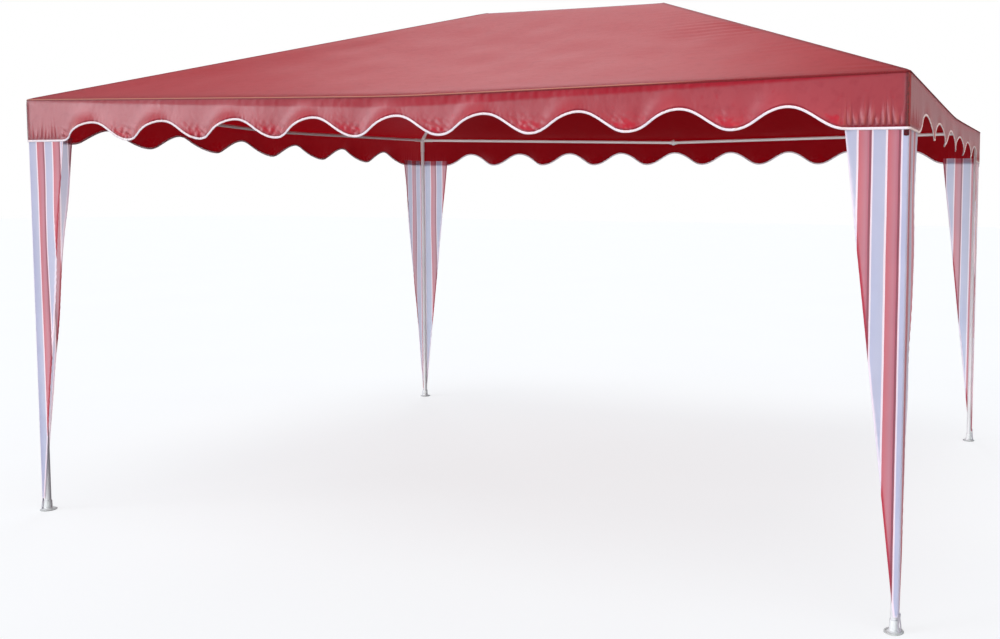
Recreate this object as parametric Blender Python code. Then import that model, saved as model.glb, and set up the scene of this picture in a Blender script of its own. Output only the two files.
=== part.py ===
"""Party tent, 4 by 3 metres: a frame of white steel tubes that plug together, a hipped red cloth roof
with a scalloped valance all round, and a striped cloth cover down each corner leg.

Metres, +Z up, +X along the long front, -Y towards the front.
The origin is on the ground under the middle of the roof."""

import math

import bmesh
import bpy
from mathutils import Vector

# Driving dimensions
ROOF_LENGTH = 4.0
ROOF_WIDTH = 3.0
EAVE_HEIGHT = 1.905
RIDGE_HEIGHT = 2.48
RIDGE_LENGTH = 1.04
EAVE_SAG = 0.030

TUBE_RADIUS = 0.010
LEG_RADIUS = 0.0125
CLOTH = 0.003
GAP = 0.0003
SEAM = 0.0002

# Sockets that the tubes plug into
SLEEVE_WALL = 0.0016
SOCKET_DEPTH = 0.055
CORE = 0.030
RAFTER_CORE = 0.036
HEEL = 0.002
LEG_HEEL = 0.006

# The ball-shaped coupler in the middle of each eave
BALL_RADIUS = 0.019
SHOULDER_RADIUS = 0.0126
COUPLER_LENGTH = 0.052
COUPLER_WEB = 0.003

# The round foot: a disc with a short flared sleeve
DISC_RADIUS = 0.035
DISC_THICKNESS = 0.004
FOOT_HEIGHT = 0.045
FOOT_FLOOR = 0.006
FOOT_WALL = 0.0026
PEG_HOLE_RADIUS = 0.004
PEG_HOLE_REACH = 0.026

# The valance and the leg covers
VALANCE_DEPTH = 0.193
SCALLOP_RISE = 0.077
CORNER_FLAT = 0.215
LONG_WAVES = 9
SHORT_WAVES = 6
STEPS_PER_WAVE = 10
COVER_TOP_WIDTH = 0.219
COVER_END_WIDTH = 0.028
COVER_END_HEIGHT = 0.065
COVER_LAP = 0.020

SIDES = 20
HOLE_SIDES = 12

# What follows from them
HALF_LENGTH = ROOF_LENGTH / 2
HALF_WIDTH = ROOF_WIDTH / 2
HALF_RIDGE = RIDGE_LENGTH / 2
MIDDLE_EAVE = EAVE_HEIGHT - EAVE_SAG
STEEPEST = math.atan((RIDGE_HEIGHT - MIDDLE_EAVE) / min(HALF_WIDTH, HALF_LENGTH - HALF_RIDGE))
ROOF_DROP = CLOTH / math.cos(STEEPEST)
SLEEVE_RADIUS = TUBE_RADIUS + GAP + SLEEVE_WALL
INSET = CLOTH + BALL_RADIUS + 0.0005
CORNERS = {
    "front_left": (-1, -1),
    "front_right": (1, -1),
    "rear_right": (1, 1),
    "rear_left": (-1, 1),
}


def under_cloth(surface_height, radius):
    """The height of the centre of a round piece that lies just under the sloping roof cloth."""
    return surface_height - ROOF_DROP - (radius + GAP) / math.cos(STEEPEST)


CORNER_JOINT_HEIGHT = under_cloth(
    EAVE_HEIGHT + INSET * (RIDGE_HEIGHT - EAVE_HEIGHT) / HALF_WIDTH, SLEEVE_RADIUS
)
COUPLER_HEIGHT = under_cloth(
    MIDDLE_EAVE + INSET * (RIDGE_HEIGHT - MIDDLE_EAVE) / HALF_WIDTH, BALL_RADIUS
)
RIDGE_JOINT_HEIGHT = under_cloth(RIDGE_HEIGHT, SLEEVE_RADIUS)


def corner_joint(name):
    side, depth = CORNERS[name]
    return Vector((side * (HALF_LENGTH - INSET), depth * (HALF_WIDTH - INSET), CORNER_JOINT_HEIGHT))


EAVES = {
    "front": ("front_left", "front_right", Vector((0, -(HALF_WIDTH - INSET), COUPLER_HEIGHT))),
    "right": ("front_right", "rear_right", Vector((HALF_LENGTH - INSET, 0, COUPLER_HEIGHT))),
    "rear": ("rear_right", "rear_left", Vector((0, HALF_WIDTH - INSET, COUPLER_HEIGHT))),
    "left": ("rear_left", "front_left", Vector((-(HALF_LENGTH - INSET), 0, COUPLER_HEIGHT))),
}
RIDGE_JOINTS = {
    "left": Vector((-HALF_RIDGE, 0, RIDGE_JOINT_HEIGHT)),
    "right": Vector((HALF_RIDGE, 0, RIDGE_JOINT_HEIGHT)),
}


# Materials

def material(name, colour, roughness, metallic=0.0):
    made = bpy.data.materials.new(name)
    made.use_nodes = True
    shader = made.node_tree.nodes["Principled BSDF"]
    shader.inputs["Base Color"].default_value = (*colour, 1.0)
    shader.inputs["Roughness"].default_value = roughness
    shader.inputs["Metallic"].default_value = metallic
    return made


# Building blocks

def mesh_of(name, points, faces):
    """A closed mesh with its faces turned outwards and its flat ends kept sharp."""
    shape = bmesh.new()
    corners = [shape.verts.new(point) for point in points]
    for face in faces:
        shape.faces.new([corners[index] for index in face])
    bmesh.ops.recalc_face_normals(shape, faces=shape.faces)
    mesh = bpy.data.meshes.new(name)
    shape.to_mesh(mesh)
    shape.free()
    mesh.shade_smooth()
    mesh.set_sharp_from_angle(angle=math.radians(35))
    return mesh


def lofted(name, outlines):
    """A solid skinned through closed outlines of equal point counts, with its first and last filled."""
    count = len(outlines[0])
    points = [point for outline in outlines for point in outline]
    faces = [list(range(count)), list(range(len(points) - count, len(points)))]
    for level in range(len(outlines) - 1):
        for index in range(count):
            after = (index + 1) % count
            low = level * count
            faces.append([low + index, low + after, low + count + after, low + count + index])
    return mesh_of(name, points, faces)


def turned(name, profile, sides=SIDES):
    """A solid of revolution about +Z through (radius, height) pairs."""
    turns = [index * 2 * math.pi / sides for index in range(sides)]
    return lofted(
        name,
        [
            [Vector((radius * math.cos(turn), radius * math.sin(turn), height)) for turn in turns]
            for radius, height in profile
        ],
    )


def rod(name, length, radius, sides=SIDES):
    return turned(name, [(radius, 0.0), (radius, length)], sides)


def place(name, mesh, finish, location=(0, 0, 0), along=None, turn=0.0):
    """One object, with its local +Z turned to point along a direction or spun about +Z."""
    made = bpy.data.objects.new(name, mesh)
    bpy.context.scene.collection.objects.link(made)
    made.location = location
    if along is not None:
        made.rotation_euler = Vector(along).to_track_quat("Z", "Y").to_euler()
    else:
        made.rotation_euler.z = turn
    if not mesh.materials:
        mesh.materials.append(finish)
    made.parent = TENT
    return made


def moulded(name, location, solids, bores, finish):
    """Solids fused into one piece, with bores cut in it. Each is (mesh, start point, direction)."""
    body = place(name, solids[0][0], finish, solids[0][1], solids[0][2])
    helpers = []
    steps = [(entry, "UNION") for entry in solids[1:]] + [(entry, "DIFFERENCE") for entry in bores]
    for (mesh, start, along), operation in steps:
        helper = place("helper", mesh, finish, start, along)
        helpers.append(helper)
        modifier = body.modifiers.new(operation.title(), "BOOLEAN")
        modifier.operation = operation
        modifier.object = helper
    bpy.context.view_layer.update()
    fused = bpy.data.meshes.new_from_object(body.evaluated_get(bpy.context.evaluated_depsgraph_get()))
    fused.transform(body.matrix_world)
    bpy.data.objects.remove(body)
    for helper in helpers:
        bpy.data.objects.remove(helper)
    fused.name = name
    fused.materials.clear()
    fused.shade_smooth()
    fused.set_sharp_from_angle(angle=math.radians(35))
    return place(name, fused, finish, location)


def socketed(name, location, arms, finish):
    """A connector: one sleeve for each arm, all from one point, with a blind socket in each.

    An arm is (direction, tube radius, core, heel): the socket ends a core's length from the centre,
    and the heel carries the sleeve past the centre."""
    sleeves = []
    bores = []
    for direction, radius, core, heel in arms:
        along = direction.normalized()
        mouth = core + SOCKET_DEPTH
        outer = rod("sleeve", heel + mouth, radius + GAP + SLEEVE_WALL)
        inner = rod("socket", 1.2 * SOCKET_DEPTH, radius + GAP)
        sleeves.append((outer, -along * heel, along))
        bores.append((inner, along * (core - GAP), along))
    return moulded(name, location, sleeves, bores, finish)


def thick_sheet(name, points, faces, offset):
    """A sheet and its copy moved by offset, closed round the rim."""
    count = len(points)
    moved = [Vector(point) + Vector(offset) for point in points]
    edges = [(face[i], face[(i + 1) % len(face)]) for face in faces for i in range(len(face))]
    rim = [(a, b) for a, b in edges if (b, a) not in edges]
    closed = [list(face) for face in faces]
    closed += [[index + count for index in reversed(face)] for face in faces]
    closed += [[b, a, a + count, b + count] for a, b in rim]
    return mesh_of(name, [Vector(point) for point in points] + moved, closed)


# The scene starts empty

for left_over in list(bpy.data.objects):
    bpy.data.objects.remove(left_over)

TENT = bpy.data.objects.new("party_tent", None)
bpy.context.scene.collection.objects.link(TENT)

ROOF_CLOTH = material("red_roof_cloth", (0.42, 0.045, 0.065), 0.55)
VALANCE_CLOTH = material("red_valance_cloth", (0.40, 0.040, 0.075), 0.55)
COVER_CLOTH = material("striped_cover_cloth", (0.62, 0.30, 0.36), 0.60)
PAINTED_TUBE = material("white_painted_tube", (0.80, 0.81, 0.82), 0.35)
FITTING = material("white_fitting", (0.74, 0.75, 0.77), 0.40)
FOOT_METAL = material("white_foot", (0.72, 0.74, 0.74), 0.40)


# Feet and legs, one of each at every corner

def foot_mesh():
    """The disc rises in a fillet to a sleeve, whose bore stops above the disc's underside."""
    sleeve = LEG_RADIUS + GAP + FOOT_WALL
    return turned(
        "foot",
        [
            (DISC_RADIUS - 0.0008, 0.0),
            (DISC_RADIUS, 0.0008),
            (DISC_RADIUS, DISC_THICKNESS - 0.001),
            (DISC_RADIUS - 0.0012, DISC_THICKNESS),
            (sleeve + 0.0060, DISC_THICKNESS + 0.0012),
            (sleeve + 0.0022, DISC_THICKNESS + 0.0050),
            (sleeve + 0.0005, DISC_THICKNESS + 0.0130),
            (sleeve, FOOT_HEIGHT - 0.0010),
            (sleeve - 0.0008, FOOT_HEIGHT),
            (LEG_RADIUS + GAP, FOOT_HEIGHT),
            (LEG_RADIUS + GAP, FOOT_FLOOR),
        ],
    )


FOOT = foot_mesh()
PEG_HOLE = rod("peg_hole", 4 * DISC_THICKNESS, PEG_HOLE_RADIUS, HOLE_SIDES)
LEG_START = FOOT_FLOOR + GAP
LEG = rod("leg", CORNER_JOINT_HEIGHT - CORE - LEG_START, LEG_RADIUS)

for corner in CORNERS:
    stand = corner_joint(corner)
    stand.z = 0.0
    up = Vector((0, 0, 1))
    pegs = [
        (PEG_HOLE, Vector((reach, 0, -2 * DISC_THICKNESS)), up)
        for reach in (-PEG_HOLE_REACH, PEG_HOLE_REACH)
    ]
    moulded("foot_" + corner, stand, [(FOOT.copy(), Vector(), up)], pegs, FOOT_METAL)
    place("leg_" + corner, LEG, PAINTED_TUBE, stand + up * LEG_START)


# Corner connectors: the leg's sleeve, one for each of two eave bars, and one for the hip rafter

def eave_directions(corner):
    return [
        middle - corner_joint(corner)
        for first, second, middle in EAVES.values()
        if corner in (first, second)
    ]


def ridge_joint_of(corner):
    return RIDGE_JOINTS["left" if CORNERS[corner][0] < 0 else "right"]


for corner in CORNERS:
    centre = corner_joint(corner)
    arms = [(Vector((0, 0, -1)), LEG_RADIUS, CORE, LEG_HEEL)]
    arms += [(direction, TUBE_RADIUS, CORE, HEEL) for direction in eave_directions(corner)]
    arms += [(ridge_joint_of(corner) - centre, TUBE_RADIUS, RAFTER_CORE, 0.0)]
    socketed("corner_connector_" + corner, centre, arms, FITTING)


# Eave bars: two half bars a side, which meet in a coupler that hangs a little lower than the corners

def coupler_profile():
    """A shoulder, a ball and a second shoulder, as (radius, height) pairs."""
    half = COUPLER_LENGTH / 2
    start = math.asin(SHOULDER_RADIUS / BALL_RADIUS)
    turns = [start + step * (math.pi - 2 * start) / 6 for step in range(7)]
    ball = [(BALL_RADIUS * math.sin(turn), -BALL_RADIUS * math.cos(turn)) for turn in turns]
    return [
        (SHOULDER_RADIUS - 0.0006, -half),
        (SHOULDER_RADIUS, -half + 0.0006),
        *ball,
        (SHOULDER_RADIUS, half - 0.0006),
        (SHOULDER_RADIUS - 0.0006, half),
    ]


for side, (first, second, middle) in EAVES.items():
    sockets = []
    for corner in (first, second):
        end = corner_joint(corner)
        along = middle - end
        length = along.length - CORE - COUPLER_WEB - GAP
        start = end + along.normalized() * CORE
        # A bar is named for its side and for the end it plugs into, such as eave_bar_front_left.
        depth_name, side_name = corner.split("_")
        half_name = side_name if side in ("front", "rear") else depth_name
        bar = rod("eave_bar", length, TUBE_RADIUS)
        place(f"eave_bar_{side}_{half_name}", bar, PAINTED_TUBE, start, along)
        outwards = -along.normalized()
        bore = rod("socket", COUPLER_LENGTH, TUBE_RADIUS + GAP)
        sockets.append((bore, outwards * COUPLER_WEB, outwards))
    ball = (turned("coupler", coupler_profile()), Vector(), corner_joint(second) - corner_joint(first))
    moulded("eave_coupler_" + side, middle, [ball], sockets, FITTING)


# The ridge bar, its two connectors and the four hip rafters

for side, centre in RIDGE_JOINTS.items():
    inwards = Vector((-math.copysign(1, centre.x), 0, 0))
    arms = [(inwards, TUBE_RADIUS, CORE, 0.0)]
    for corner in CORNERS:
        if ridge_joint_of(corner) == centre:
            arms.append((corner_joint(corner) - centre, TUBE_RADIUS, RAFTER_CORE, 0.0))
    socketed("ridge_connector_" + side, centre, arms, FITTING)

ridge_start = RIDGE_JOINTS["left"] + Vector((CORE, 0, 0))
ridge_bar = rod("ridge_bar", RIDGE_LENGTH - 2 * CORE, TUBE_RADIUS)
place("ridge_bar", ridge_bar, PAINTED_TUBE, ridge_start, (1, 0, 0))

for corner in CORNERS:
    low = corner_joint(corner)
    along = ridge_joint_of(corner) - low
    rafter = rod("hip_rafter", along.length - 2 * RAFTER_CORE, TUBE_RADIUS)
    start = low + along.normalized() * RAFTER_CORE
    place("hip_rafter_" + corner, rafter, PAINTED_TUBE, start, along)


# Roof cloth: two trapezoids and two triangles, each folded a little where its eave sags

def roof_panel(side, axis):
    """The panel whose eave faces along axis, as a thick sheet kept a seam clear of its neighbours."""
    out = Vector(axis)
    run = Vector((-out.y, out.x, 0))
    half = (HALF_LENGTH if side in ("front", "rear") else HALF_WIDTH) - 2 * SEAM
    reach = HALF_WIDTH if side in ("front", "rear") else HALF_LENGTH
    eave = out * reach
    points = [
        eave - run * half + Vector((0, 0, EAVE_HEIGHT)),
        eave + Vector((0, 0, MIDDLE_EAVE)),
        eave + run * half + Vector((0, 0, EAVE_HEIGHT)),
    ]
    top = out * SEAM + Vector((0, 0, RIDGE_HEIGHT))
    if side in ("front", "rear"):
        points += [top + run * HALF_RIDGE, top - run * HALF_RIDGE]
        faces = [(0, 1, 4), (1, 3, 4), (1, 2, 3)]
    else:
        points += [top + out * HALF_RIDGE]
        faces = [(0, 1, 3), (1, 2, 3)]
    sheet = thick_sheet("roof_panel", points, faces, (0, 0, -ROOF_DROP))
    place("roof_panel_" + side, sheet, ROOF_CLOTH)


OUTWARDS = {"front": (0, -1, 0), "right": (1, 0, 0), "rear": (0, 1, 0), "left": (-1, 0, 0)}
for side, axis in OUTWARDS.items():
    roof_panel(side, axis)


# Valances: upright strips with a straight stretch at each corner and cosine scallops between

def valance(side, axis):
    out = Vector(axis)
    run = Vector((-out.y, out.x, 0))
    on_long_side = side in ("front", "rear")
    half = HALF_LENGTH if on_long_side else HALF_WIDTH - CLOTH - GAP
    reach = HALF_WIDTH if on_long_side else HALF_LENGTH
    waves = LONG_WAVES if on_long_side else SHORT_WAVES
    scalloped = (HALF_LENGTH if on_long_side else HALF_WIDTH) - CORNER_FLAT
    steps = waves * STEPS_PER_WAVE
    places = [-half] + [(2 * step / steps - 1) * scalloped for step in range(steps + 1)] + [half]
    points = []
    for place_along in places:
        sag = EAVE_SAG * (1 - abs(place_along) / half)
        turn = math.pi * waves * (place_along / scalloped + 1)
        rise = SCALLOP_RISE * (1 - math.cos(turn)) / 2 if abs(place_along) < scalloped else 0.0
        base = out * reach + run * place_along
        points.append(base + Vector((0, 0, EAVE_HEIGHT - VALANCE_DEPTH + rise)))
        points.append(base + Vector((0, 0, EAVE_HEIGHT - sag - ROOF_DROP - GAP)))
    faces = [(i, i + 2, i + 3, i + 1) for i in range(0, len(points) - 2, 2)]
    sheet = thick_sheet("valance", points, faces, -out * CLOTH)
    place("valance_" + side, sheet, VALANCE_CLOTH)


for side, axis in OUTWARDS.items():
    valance(side, axis)


# Leg covers: one folded piece of cloth at each corner, which tapers from the valance to the foot

def cover_outline(width, height):
    """An L in plan about the outer corner of the cloth, which is at the local origin."""
    return [
        Vector((x, y, height))
        for x, y in (
            (0, 0),
            (width, 0),
            (width, CLOTH),
            (CLOTH, CLOTH),
            (CLOTH, width),
            (0, width),
        )
    ]


BEHIND = CLOTH + GAP
COVER_TOP = EAVE_HEIGHT - VALANCE_DEPTH + COVER_LAP
COVER = lofted(
    "leg_cover",
    [
        cover_outline(COVER_END_WIDTH, COVER_END_HEIGHT),
        cover_outline(COVER_TOP_WIDTH - BEHIND, COVER_TOP),
    ],
)

for quarter, (corner, (side, depth)) in enumerate(CORNERS.items()):
    outer = (side * (HALF_LENGTH - BEHIND), depth * (HALF_WIDTH - BEHIND), 0)
    place("leg_cover_" + corner, COVER, COVER_CLOTH, outer, turn=quarter * math.pi / 2)
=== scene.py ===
import math

import bpy
import numpy as np
from mathutils import Matrix, Vector


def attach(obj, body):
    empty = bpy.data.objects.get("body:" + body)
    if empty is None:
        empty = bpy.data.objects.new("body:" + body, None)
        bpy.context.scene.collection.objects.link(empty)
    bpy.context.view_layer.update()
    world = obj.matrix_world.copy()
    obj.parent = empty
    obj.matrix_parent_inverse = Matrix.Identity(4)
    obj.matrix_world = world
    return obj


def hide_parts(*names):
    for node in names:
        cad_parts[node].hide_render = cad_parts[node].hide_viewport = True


# Looks of a 4 by 3 metre party tent: red coated cloth over a plug-together frame of white tubes.
# Metres, +Z up, +X along the long front, -Y towards the front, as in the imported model.
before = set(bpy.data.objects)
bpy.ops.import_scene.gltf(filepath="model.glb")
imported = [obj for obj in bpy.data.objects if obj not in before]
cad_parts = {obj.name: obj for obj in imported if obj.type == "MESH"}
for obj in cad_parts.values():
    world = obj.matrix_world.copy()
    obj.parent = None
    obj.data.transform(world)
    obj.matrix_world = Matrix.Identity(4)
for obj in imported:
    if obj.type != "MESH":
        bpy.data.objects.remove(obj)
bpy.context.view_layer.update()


# Camera
# It stands off the near right corner at chest height and looks along the front, tipped a little down.
# The picture is a part of a wider one, so its optical axis lies right of and above its middle.

PICTURE_WIDTH = 1000
PICTURE_HEIGHT = 639
AXIS_PIXEL = (720, 270)
FOCAL_PIXELS = 1004.1
CAMERA_PLACE = Vector((2.477, -4.850, 1.469))
CAMERA_YAW = math.radians(18.68)
CAMERA_PITCH = math.radians(-3.91)
CAMERA_ROLL = math.radians(0.50)
SENSOR_WIDTH = 36.0


def camera_turn(yaw, pitch, roll):
    """Rotation of a camera that looks along +Y, then turns left by yaw, up by pitch and rolls."""
    ahead = Vector((-math.sin(yaw) * math.cos(pitch), math.cos(yaw) * math.cos(pitch), math.sin(pitch)))
    level = Vector((math.cos(yaw), math.sin(yaw), 0))
    above = level.cross(ahead)
    right = level * math.cos(roll) + above * math.sin(roll)
    up = above * math.cos(roll) - level * math.sin(roll)
    return Matrix((right, up, -ahead)).transposed()


lens = bpy.data.cameras.new("camera")
lens.sensor_width = SENSOR_WIDTH
lens.lens = SENSOR_WIDTH * FOCAL_PIXELS / PICTURE_WIDTH
lens.shift_x = (PICTURE_WIDTH / 2 - AXIS_PIXEL[0]) / PICTURE_WIDTH
lens.shift_y = (AXIS_PIXEL[1] - PICTURE_HEIGHT / 2) / PICTURE_WIDTH
lens.clip_end = 200
camera = bpy.data.objects.new("camera", lens)
bpy.context.scene.collection.objects.link(camera)
camera.matrix_world = camera_turn(CAMERA_YAW, CAMERA_PITCH, CAMERA_ROLL).to_4x4()
camera.location = CAMERA_PLACE
bpy.context.scene.camera = camera


# Floor and light
# A pale matt studio floor before a white wall. The light is an even pale sky with nothing bright
# below it, and three broad soft lamps: from the front left, from above, and from behind the left,
# whose glare lies on the middle of the roof.

FLOOR_REACH = 60.0
FLOOR_POINTS = 13
FLOOR_GLOW = 0.70
SKY = "#EEF2FF"
SKY_STRENGTH = 0.50
SKY_FLAG = (0.05, 0.83, 0.55)
GROUND = "#7D6E6A"
GROUND_STRENGTH = 0.14
LAMPS = {
    "front_lamp": ((0.77, 0.605, -0.20), "#FBF5FC", 1.8, math.radians(26)),
    "top_lamp": ((-0.10, 0.25, -0.96), "#FFFAF4", 0.75, math.radians(40)),
    "glare_lamp": ((0.475, -0.73, -0.49), "#FAF6FA", 0.47, math.radians(25)),
}


def linear(code):
    """An sRGB hex colour as linear red, green and blue, with alpha 1."""
    shares = [int(code[place : place + 2], 16) / 255 for place in (1, 3, 5)]
    return (*[s / 12.92 if s <= 0.04045 else ((s + 0.055) / 1.055) ** 2.4 for s in shares], 1.0)


def add(tree, kind, inputs=None, **settings):
    """One shader node of that kind with its own settings. Each input is set to a value, or linked to
    a socket or to another node's first output."""
    made = tree.nodes.new("ShaderNode" + kind)
    for name, value in settings.items():
        setattr(made, name, value)
    for name, value in (inputs or {}).items():
        if isinstance(value, bpy.types.Node):
            value = value.outputs[0]
        if isinstance(value, bpy.types.NodeSocket):
            tree.links.new(value, made.inputs[name])
        else:
            made.inputs[name].default_value = value
    return made


def new_material(name):
    """A material that has no shader yet, its node tree, and the place of each point on its object."""
    made = bpy.data.materials.new(name)
    made.use_nodes = True
    made.node_tree.nodes.clear()
    return made, made.node_tree, add(made.node_tree, "TexCoord").outputs["Object"]


def grid_index(rows, columns, round_rows=False, round_columns=False):
    """The numbers of a grid's points, where round rows or columns end on the point they began with."""
    index = np.arange(rows * columns).reshape(rows, columns)
    if round_columns:
        index = np.hstack([index, index[:, :1]])
    if round_rows:
        index = np.vstack([index, index[:1]])
    return index


def surface(name, points, index, material, cloth_map=None, shares=None):
    """A smooth mesh at the origin: each four neighbours in the grid of point numbers make one face.

    A corner that repeats the one before it is dropped, so that rows can end in one point. cloth_map
    gives each point's (across, up) place on the flat cloth in metres, and shares holds named arrays
    of one number a point."""
    corners = np.stack([index[:-1, :-1], index[1:, :-1], index[1:, 1:], index[:-1, 1:]], axis=-1)
    corners = corners.reshape(-1, 4)
    kept = corners != np.roll(corners, 1, axis=1)
    sizes = kept.sum(axis=1)
    used, loops = np.unique(corners[kept], return_inverse=True)
    mesh = bpy.data.meshes.new(name)
    mesh.vertices.add(len(used))
    mesh.vertices.foreach_set("co", points.reshape(-1, 3)[used].astype(np.float32).ravel())
    mesh.loops.add(len(loops))
    mesh.loops.foreach_set("vertex_index", loops.astype(np.int32).ravel())
    mesh.polygons.add(len(sizes))
    mesh.polygons.foreach_set("loop_start", (np.cumsum(sizes) - sizes).astype(np.int32))
    mesh.update(calc_edges=True)
    if cloth_map is not None:
        flat = cloth_map.reshape(-1, 2)[corners[kept]]
        mesh.uv_layers.new(name="cloth").data.foreach_set("uv", flat.astype(np.float32).ravel())
    for label, values in (shares or {}).items():
        attribute = mesh.attributes.new(label, "FLOAT", "POINT")
        attribute.data.foreach_set("value", values.ravel()[used].astype(np.float32))
    mesh.validate()
    mesh.shade_smooth()
    mesh.materials.append(material)
    made = bpy.data.objects.new(name, mesh)
    bpy.context.scene.collection.objects.link(made)
    return made


def matt_floor():
    """Matt painted board: one even pale tone without a sheen, so it carries only soft shadows."""
    made, tree, place = new_material("matt_studio_board")
    grain = add(tree, "TexNoise", {"Vector": place, "Scale": 0.8, "Detail": 2.0})
    tones = {0: grain, 6: linear("#949A9D"), 7: linear("#9AA0A2")}
    tone = add(tree, "Mix", tones, data_type="RGBA")
    board = {"Base Color": tone.outputs[2], "Roughness": 0.95, "Specular IOR Level": 0.1}
    glow = {"Emission Color": linear("#FFFFFF"), "Emission Strength": FLOOR_GLOW}
    shader = add(tree, "BsdfPrincipled", {**board, **glow})
    add(tree, "OutputMaterial", {"Surface": shader})
    return made


sides = np.linspace(-FLOOR_REACH, FLOOR_REACH, FLOOR_POINTS)
floor_plan = np.meshgrid(sides, -sides)
floor_grid = np.stack([*floor_plan, np.zeros((FLOOR_POINTS, FLOOR_POINTS))], axis=-1)
floor = surface("floor", floor_grid, grid_index(FLOOR_POINTS, FLOOR_POINTS), matt_floor())
floor.visible_diffuse = False
floor.visible_glossy = False
floor.visible_shadow = False


def studio_world():
    """A pale sky over a dim ground, with a soft dim patch high behind the tent's right half, before
    all of which the camera itself sees a white wall."""
    world = bpy.data.worlds.new("studio")
    world.use_nodes = True
    tree = world.node_tree
    tree.nodes.clear()
    towards = add(tree, "TexCoord").outputs["Generated"]
    height = add(tree, "SeparateXYZ", {"Vector": towards}).outputs["Z"]
    above = add(tree, "MapRange", {"Value": height, "From Min": -0.06, "From Max": 0.06})
    ground = add(tree, "Background", {"Color": linear(GROUND), "Strength": GROUND_STRENGTH})
    nearness = add(tree, "VectorMath", {0: towards, 1: SKY_FLAG}, operation="DOT_PRODUCT").outputs["Value"]
    dimming = {"From Min": 0.91, "From Max": 0.985, "To Min": SKY_STRENGTH, "To Max": 0.3 * SKY_STRENGTH}
    strength = add(tree, "MapRange", {"Value": nearness, **dimming}, interpolation_type="SMOOTHSTEP")
    sky = add(tree, "Background", {"Color": linear(SKY), "Strength": strength})
    light = add(tree, "MixShader", {0: above, 1: ground, 2: sky})
    wall = add(tree, "Background", {"Color": linear("#FFFFFF"), "Strength": 1.0})
    seen = add(tree, "LightPath").outputs["Is Camera Ray"]
    both = add(tree, "MixShader", {0: seen, 1: light, 2: wall})
    add(tree, "OutputWorld", {"Surface": both})
    return world


def aimed(name, lamp, towards):
    """The lamp as an object in the scene, turned to shine that way."""
    placed = bpy.data.objects.new(name, lamp)
    bpy.context.scene.collection.objects.link(placed)
    placed.rotation_mode = "QUATERNION"
    placed.rotation_quaternion = Vector(towards).to_track_quat("-Z", "Y")
    return placed


def far_lamp(name, towards, colour, strength, spread):
    """A soft lamp as if from far away, that shines that way and looks that wide."""
    lamp = bpy.data.lights.new(name, "SUN")
    lamp.color = linear(colour)[:3]
    lamp.energy = strength
    lamp.angle = spread
    return aimed(name, lamp, towards)


bpy.context.scene.world = studio_world()
for name, (towards, colour, strength, spread) in LAMPS.items():
    far_lamp(name, towards, colour, strength, spread)
bpy.context.scene.view_settings.view_transform = "Standard"


# Tubes
# Legs, half eave bars, hip rafters and the ridge bar are welded steel tube with a white powder coat.
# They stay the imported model's own solids and only take their finish here.

TUBE_NODES = ("leg_front", "leg_rear", "eave_bar_", "hip_rafter_", "ridge_bar")


def powder_coated_steel():
    """Powder coat on steel: a hard white skin, half gloss, with the faint dimpling of baked powder.

    The dimples are about 1 mm across on a real tube and are drawn 3 mm wide, so that they show."""
    made, tree, place = new_material("powder_coated_steel")
    dust = add(tree, "TexNoise", {"Vector": place, "Scale": 7.0, "Detail": 5.0})
    tones = {0: dust, 6: linear("#D4D8DB"), 7: linear("#F1F3F3")}
    tone = add(tree, "Mix", tones, data_type="RGBA")
    dimples = add(tree, "TexNoise", {"Vector": place, "Scale": 330.0, "Detail": 1.0})
    gloss = add(tree, "MapRange", {"Value": dust, "To Min": 0.44, "To Max": 0.30})
    relief = add(tree, "Bump", {"Height": dimples, "Strength": 0.12, "Distance": 0.0004})
    skin = {"Base Color": tone.outputs[2], "Roughness": gloss, "Normal": relief}
    coat = {"IOR": 1.5, "Coat Weight": 0.25, "Coat Roughness": 0.18}
    shader = add(tree, "BsdfPrincipled", {**skin, **coat})
    add(tree, "OutputMaterial", {"Surface": shader})
    return made


def refinish(beginnings, material):
    """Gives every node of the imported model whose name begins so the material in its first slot."""
    for name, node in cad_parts.items():
        if name.startswith(beginnings):
            node.material_slots[0].material = material


refinish(TUBE_NODES, powder_coated_steel())


# Connectors and couplers
# Injection moulded polypropylene, white with a grey cast: a fine spark-eroded grain from the mould
# and a soft gloss. The tubes push into their sockets and nothing is screwed.

FITTING_NODES = ("corner_connector_", "ridge_connector_", "eave_coupler_")


def moulded_polypropylene():
    """Moulded polypropylene: slightly waxy, grained, and a little see-through at thin edges."""
    made, tree, place = new_material("moulded_polypropylene")
    cloud = add(tree, "TexNoise", {"Vector": place, "Scale": 11.0, "Detail": 3.0})
    tones = {0: cloud, 6: linear("#D9DCDD"), 7: linear("#ECEEED")}
    tone = add(tree, "Mix", tones, data_type="RGBA")
    grain = add(tree, "TexNoise", {"Vector": place, "Scale": 520.0, "Detail": 2.0})
    relief = add(tree, "Bump", {"Height": grain, "Strength": 0.25, "Distance": 0.0003})
    skin = {"Base Color": tone.outputs[2], "Roughness": 0.48, "Normal": relief}
    depth = {"IOR": 1.49, "Subsurface Weight": 0.15, "Subsurface Scale": 0.003}
    shader = add(tree, "BsdfPrincipled", {**skin, **depth})
    add(tree, "OutputMaterial", {"Surface": shader})
    return made


refinish(FITTING_NODES, moulded_polypropylene())


# Feet
# Round moulded feet with a short sleeve for the leg and two peg holes; the disc they stand on is
# greyed by painted shade and rougher.

DISC_SHADE_HEIGHT = 0.009


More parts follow.
